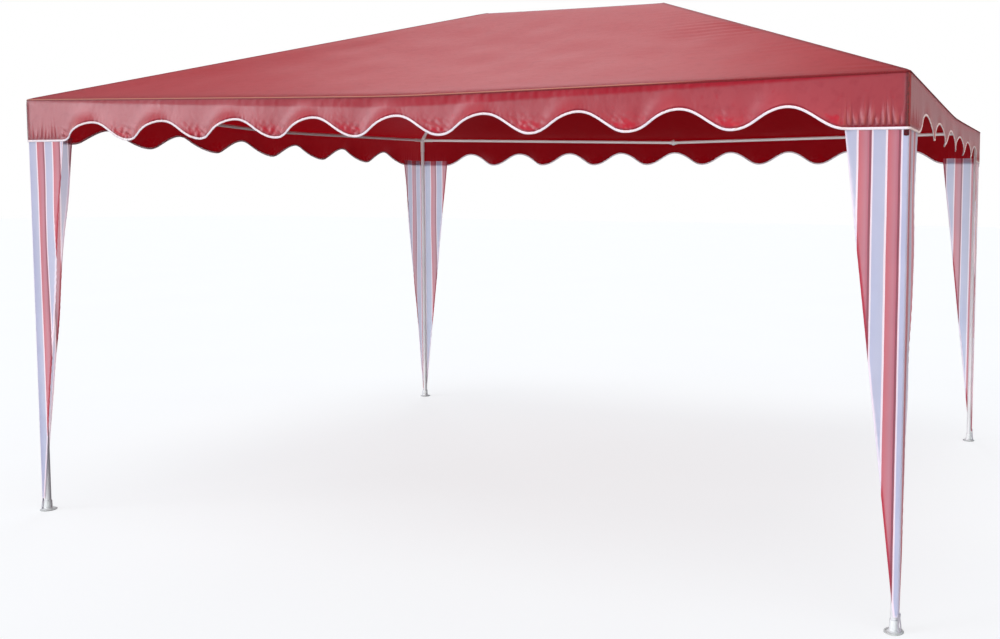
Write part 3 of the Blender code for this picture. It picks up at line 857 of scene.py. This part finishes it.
def striped_polyester():
    """Thin plain-woven polyester with printed stripes: bluish white and faded red, each red stripe
    with a darker right edge and a thin pale line beside it. Doubled in the hem it is more strongly
    coloured, and single it lets a good deal of light through.

    Its threads are about 0.3 mm apart and are drawn every 2.5 mm, so that they show at all."""
    made, tree, place = new_material("striped_polyester")
    flat = add(tree, "UVMap", uv_map="cloth").outputs["UV"]
    stripe = add(tree, "Attribute", attribute_name="stripe").outputs["Fac"]
    doubled = add(tree, "Attribute", attribute_name="doubled").outputs["Fac"]
    waver = add(tree, "TexNoise", {"Vector": place, "Scale": 8.0, "Detail": 2.0})
    shifted = add(tree, "Math", {0: waver, 1: 0.02, 2: stripe}, operation="MULTIPLY_ADD")
    within = add(tree, "Math", {0: shifted}, operation="FRACT")
    stripes = {6: stripe_ramp(tree, within, SINGLE_STRIPES), 7: stripe_ramp(tree, within, DOUBLE_STRIPES)}
    tone = add(tree, "Mix", {0: doubled, **stripes}, data_type="RGBA")
    shade = add(tree, "TexNoise", {"Vector": place, "Scale": 5.0, "Detail": 5.0})
    shaded = add(tree, "MapRange", {"Value": shade, "From Min": 0.35, "From Max": 0.75, "To Max": 0.4})
    tones = {0: shaded, 6: tone.outputs[2], 7: linear("#DCDCE6")}
    tone = add(tree, "Mix", tones, data_type="RGBA", blend_type="MULTIPLY")
    threads = weave(tree, flat, 0.0025, 0.3, 2.0)
    relief = add(tree, "Bump", {"Height": threads, "Strength": 0.12, "Distance": 0.0004})
    skin = {"Base Color": tone.outputs[2], "Roughness": 0.55, "Normal": relief}
    face = add(tree, "BsdfPrincipled", {**skin, "IOR": 1.5, "Sheen Weight": 0.05})
    pale = add(tree, "Mix", {0: PALER_THROUGH, 6: tone.outputs[2], 7: linear("#F4F2F8")}, data_type="RGBA")
    through = add(tree, "BsdfTranslucent", {"Color": pale.outputs[2], "Normal": relief})
    both = add(tree, "MixShader", {0: COVER_LIGHT_THROUGH, 1: face, 2: through})
    add(tree, "OutputMaterial", {"Surface": both})
    return made


SINGLE_STRIPES = (
    (0.00, "#C84C5C"),
    (0.10, "#C8606E"),
    (0.26, "#C07484"),
    (0.36, "#B85068"),
    (0.385, "#78002C"),
    (0.445, "#960838"),
    (0.46, "#FAF0FA"),
    (0.495, "#FAF0FA"),
    (0.52, "#B6C2E0"),
    (0.92, "#BAC6E0"),
    (0.945, "#FAF2FC"),
    (0.99, "#FAF2FC"),
)
DOUBLE_STRIPES = (
    (0.00, "#C4203C"),
    (0.36, "#B81A40"),
    (0.445, "#8E0C34"),
    (0.46, "#FAF0FA"),
    (0.99, "#F2F0FA"),
)


def stripe_ramp(tree, within, stops):
    """Colours across one period of the stripes, blended between their stops."""
    ramp = add(tree, "ValToRGB", {0: within})
    elements = ramp.color_ramp.elements
    elements[0].position, elements[0].color = stops[0][0], linear(stops[0][1])
    elements[1].position, elements[1].color = stops[-1][0], linear(stops[-1][1])
    for place, colour in stops[1:-1]:
        elements.new(place).color = linear(colour)
    return ramp


def cover_grid(east, north, starts, seed):
    """One cover: rows from behind the valance down to the foot, columns from the hem's inner edge on
    the short side's face, round the corner, to the hem's inner edge on the long side's face.

    A column's place t is its distance from the corner along the cloth. Each face bellies a little and
    its free edge waves, more where it is wide. The hems turn back inside on a small half circle."""
    z = np.linspace(COVER_TOP, COVER_END_HEIGHT, COVER_ROWS)[:, None]
    share = np.clip((z - COVER_END_HEIGHT) / (COVER_SIDE_TOP - COVER_END_HEIGHT), 0, 1)
    width = COVER_END_WIDTH + (COVER_TOP_WIDTH - COVER_END_WIDTH) * share
    back = np.linspace(HEM_WIDTH, 0.0, 5)
    round_edge = np.radians(np.arange(150, 0, -30))
    steps = np.linspace(1, 0, 30)
    doubled_back = np.full(len(back), 2 * HEM_GAP)
    depth = np.concatenate([doubled_back, HEM_GAP * (1 - np.cos(round_edge)), np.zeros(len(steps))])
    over_face = COVER_CORNER + (width - COVER_CORNER) * steps
    t = np.hstack([width - back, width + HEM_GAP * np.sin(round_edge), over_face])
    hem_columns = len(back) + len(round_edge)
    cloth_t = t.copy()
    cloth_t[:, : len(back)] = width + HEM_GAP * np.pi + (width - t[:, : len(back)])
    free = np.clip(t / width, 0, 1)
    hanging = rising(VALANCE_LOW - 0.01 - z, 0.25) * rising(t - 0.03, 0.05)
    faces = []
    for face, start in ((1, starts[1]), (0, starts[0])):
        belly = COVER_BELLY * np.sin(np.pi * free) * plane_waves(z, 0 * t, 0.9, seed + face)
        edge = COVER_EDGE_WAVE * free**2 * plane_waves(z, 0 * t, 0.75, seed + 5 + face, 0.1, 4)
        creases = COVER_CREASE * plane_waves(t, 0.25 * z, 0.045, seed + 9 + face, 0.25)
        tugs = HEM_TUG * bell(width - t, 0.02) * plane_waves(z, t, 0.035, seed + 13 + face, 0.3)
        offset = (belly + edge + creases + tugs) * hanging
        along = (HALF_LENGTH if face == 0 else HALF_WIDTH) - COVER_INSET - t
        outward = (HALF_WIDTH if face == 0 else HALF_LENGTH) - COVER_INSET - depth + offset
        place = (t - start) / STRIPE_PERIOD
        if (face == 0) == (east > 0):
            place = STRIPE_RED - place
        faces.append((along, outward, place + 4))
    corner_turn = np.radians(np.linspace(90, 0, 8)[1:-1])
    ones = np.ones_like(width)
    corner_x = HALF_LENGTH - COVER_INSET - COVER_CORNER + COVER_CORNER * np.sin(corner_turn)
    corner_y = HALF_WIDTH - COVER_INSET - COVER_CORNER + COVER_CORNER * np.cos(corner_turn)
    x = np.hstack([faces[0][1], ones * corner_x, faces[1][0][:, ::-1]])
    y = np.hstack([faces[0][0], ones * corner_y, faces[1][1][:, ::-1]])
    first = faces[0][2][:, -1:]
    second = faces[1][2] - np.round(faces[1][2][:, -1:] - first)
    blend = np.linspace(0, 1, 8)[1:-1]
    stripe = np.hstack([faces[0][2], first + blend * (second[:, -1:] - first), second[:, ::-1]])
    signed = np.hstack([-cloth_t, ones * np.linspace(-1, 1, 8)[1:-1] * COVER_CORNER, cloth_t[:, ::-1]])
    hem = np.zeros_like(t)
    hem[:, :hem_columns] = 1
    hem = np.maximum(hem, rising(t - (width - HEM_WIDTH), 0.002))
    hem = np.maximum(hem, rising(COVER_END_HEIGHT + HEM_WIDTH - z, 0.004))
    doubled = np.hstack([hem, 0 * ones * corner_x, hem[:, ::-1]])
    height = np.broadcast_to(z, x.shape)
    points = np.stack([east * x, north * y, height], axis=-1)
    return points, np.stack([signed, height], axis=-1), stripe, doubled


STRIPED_CLOTH = striped_polyester()


def way_out(corner):
    """A corner's way out from the middle: 1 for right and for rear, -1 for left and for front."""
    return 1 if corner.endswith("right") else -1, 1 if corner.startswith("rear") else -1


covers = {}
for number, (corner, starts) in enumerate(STRIPE_STARTS.items()):
    east, north = way_out(corner)
    points, cloth_map, stripe, doubled = cover_grid(east, north, starts, 100 + 20 * number)
    index = grid_index(*points.shape[:2])
    if east * north > 0:
        index = index[:, ::-1]
    shares = {"stripe": stripe, "doubled": doubled}
    cover = surface(f"striped_cover_{corner}", points, index, STRIPED_CLOTH, cloth_map, shares)
    hang(cover, "cover_cloth", f"leg_cover_{corner}")
    covers[corner] = cover


# Corner tabs
# The end of a cover's sewing strip, of the valance's cloth, shows as a small tab below the binding
# on the long side of the two right corners.

TAB_GAP = 0.012
TAB_HALF_WIDTH = 0.009
TAB_HALF_THICKNESS = 0.0007
TAB_LOW = 0.022
TAB_HIGH = 0.003
TAB_OUT = 0.0026


def tab_grid(east, north):
    """A closed flat pad that stands upright: level rings, each a squared ellipse, drawn in to a point
    at the top and the bottom by the eighth root of what is left of the height."""
    level = np.linspace(-1, 1, 13)[:, None]
    turn = np.linspace(0, 2 * np.pi, 24, endpoint=False)[None, :]
    drawn_in = (1 - level**8) ** 0.25
    wide = np.sign(np.cos(turn)) * np.abs(np.cos(turn)) ** 0.4
    thick = np.sign(np.sin(turn)) * np.abs(np.sin(turn)) ** 0.4
    z = VALANCE_LOW + (TAB_HIGH - TAB_LOW) / 2 + level * (TAB_HIGH + TAB_LOW) / 2 + 0 * turn
    x = east * (HALF_LENGTH - TAB_GAP + TAB_HALF_WIDTH * wide * drawn_in)
    y = north * (HALF_WIDTH - TAB_OUT + TAB_HALF_THICKNESS * thick * drawn_in)
    return np.stack([x, y, z], axis=-1), np.stack([x, z], axis=-1)


for corner, north in (("front_right", -1), ("rear_right", 1)):
    tab_points, tab_map = tab_grid(1, north)
    tab_index = grid_index(*tab_points.shape[:2], round_columns=True)
    tab_index[0] = tab_index[0, 0]
    tab_index[-1] = tab_index[-1, 0]
    if north > 0:
        tab_index = tab_index[::-1]
    ones = np.ones(tab_points.shape[:2])
    tab = surface(f"corner_tab_{corner}", tab_points, tab_index, VALANCE_CLOTH, tab_map, {"doubled": ones})
    hang(tab, "valance_cloth")


# Ties
# A loop of the binding's tape is sewn to the foot of each cover, on its outer side, and reaches down
# to the peg hole in the disc, where a peg would hold it.

LEG_INSET = 0.0225
TIE_TURN = math.radians(28)
TIE_TOP = 0.070
TIE_BOTTOM = 0.0075
TIE_HALF_WIDTH = 0.0062
TIE_REACH = (0.0212, 0.0262)
TIE_HALF_TAPE = 0.0042
TIE_HALF_THICKNESS = 0.0009
TIE_SIDES = 10
TIE_TURN_POINTS = 12
PINCH_HEIGHT = 0.052


def tie_loop(east, north):
    """The loop's middle line: two straight strands joined by half circles, standing upright beside the
    leg, pinched together below its top, and leaning out towards the disc's rim with the square of the
    way down."""
    turn = np.linspace(0, np.pi, TIE_TURN_POINTS)
    straight = np.linspace(TIE_BOTTOM + TIE_HALF_WIDTH, TIE_TOP - TIE_HALF_WIDTH, 16)[1:-1]
    level = np.concatenate([
        TIE_HALF_WIDTH * np.cos(turn),
        np.full(len(straight), -TIE_HALF_WIDTH),
        -TIE_HALF_WIDTH * np.cos(turn),
        np.full(len(straight), TIE_HALF_WIDTH),
    ])
    z = np.concatenate([
        TIE_TOP - TIE_HALF_WIDTH + TIE_HALF_WIDTH * np.sin(turn),
        straight[::-1],
        TIE_BOTTOM + TIE_HALF_WIDTH - TIE_HALF_WIDTH * np.sin(turn),
        straight,
    ])
    below = (TIE_TOP - z) / (TIE_TOP - TIE_BOTTOM)
    reach = TIE_REACH[0] + (TIE_REACH[1] - TIE_REACH[0]) * below**2
    level = level * (1 - 0.5 * bell(z - PINCH_HEIGHT, 0.012))
    out = np.array([east * math.cos(TIE_TURN), north * math.sin(TIE_TURN)])
    beside = np.array([-out[1], out[0]]) * east * north
    plan = np.array([east * (HALF_LENGTH - LEG_INSET), north * (HALF_WIDTH - LEG_INSET)])
    plan = plan + reach[:, None] * out + level[:, None] * beside
    return np.column_stack([plan, z]), np.tile(out, (len(z), 1))


ties = []
for corner in covers:
    east, north = way_out(corner)
    line, out = tie_loop(east, north)
    loop_points, loop_map = tape_round(line, out, TIE_HALF_TAPE, TIE_HALF_THICKNESS, 0, TIE_SIDES)
    loop_index = grid_index(TIE_SIDES, len(line), round_rows=True, round_columns=True)
    if east * north > 0:
        loop_index = loop_index[::-1]
    ties.append(hang(surface(f"foot_tie_{corner}", loop_points, loop_index, TAPE, loop_map), "tie"))


# Light on some parts alone
# A soft lamp from low in front falls on the tubes, fittings, tape and leg covers, so that they stand
# out white under the dark red of the roof. A warm lamp from the right falls on the valances and leg
# covers, one from behind on the rear valance and the covers seen from inside, and a softbox off the
# near right corner on the front valance and covers.

WHITE_LAMP = ((-0.10, 0.88, 0.42), "#FFFFFF", 1.8, math.radians(60))
WARM_LAMP = ((-0.80, 0.30, -0.42), "#FFC08A", 1.5, math.radians(50))
REAR_LAMP = ((-0.50, -0.84, -0.20), "#FFFCF8", 1.1, math.radians(50))
SOFTBOX_PLACE = Vector((3.4, -5.0, 2.1))
SOFTBOX_AIM = Vector((1.4, -1.5, 1.7))
SOFTBOX_SIZE = 1.6
SOFTBOX_POWER = 32.0


def falls_on(lamp_object, pieces):
    """Lets the lamp's light fall on these pieces alone."""
    lit = bpy.data.collections.new(f"lit_by_{lamp_object.name}")
    bpy.context.scene.collection.children.link(lit)
    for piece in pieces:
        lit.objects.link(piece)
    lamp_object.light_linking.receiver_collection = lit


white_nodes = [
    node for name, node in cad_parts.items() if name.startswith((*TUBE_NODES, *FITTING_NODES, "foot_"))
]
falls_on(far_lamp("white_parts_lamp", *WHITE_LAMP), [*white_nodes, binding, *covers.values(), *ties])
falls_on(far_lamp("warm_lamp", *WARM_LAMP), [*valances, binding, *covers.values()])
inner_covers = [covers[corner] for corner in ("front_left", "rear_left", "rear_right")]
falls_on(far_lamp("rear_parts_lamp", *REAR_LAMP), [valances[2], *inner_covers])
softbox = bpy.data.lights.new("softbox", "AREA")
softbox.energy = SOFTBOX_POWER
softbox.size = SOFTBOX_SIZE
softbox_object = aimed("softbox", softbox, SOFTBOX_AIM - SOFTBOX_PLACE)
softbox_object.location = SOFTBOX_PLACE
falls_on(softbox_object, [valances[0], binding, covers["front_left"], covers["front_right"]])
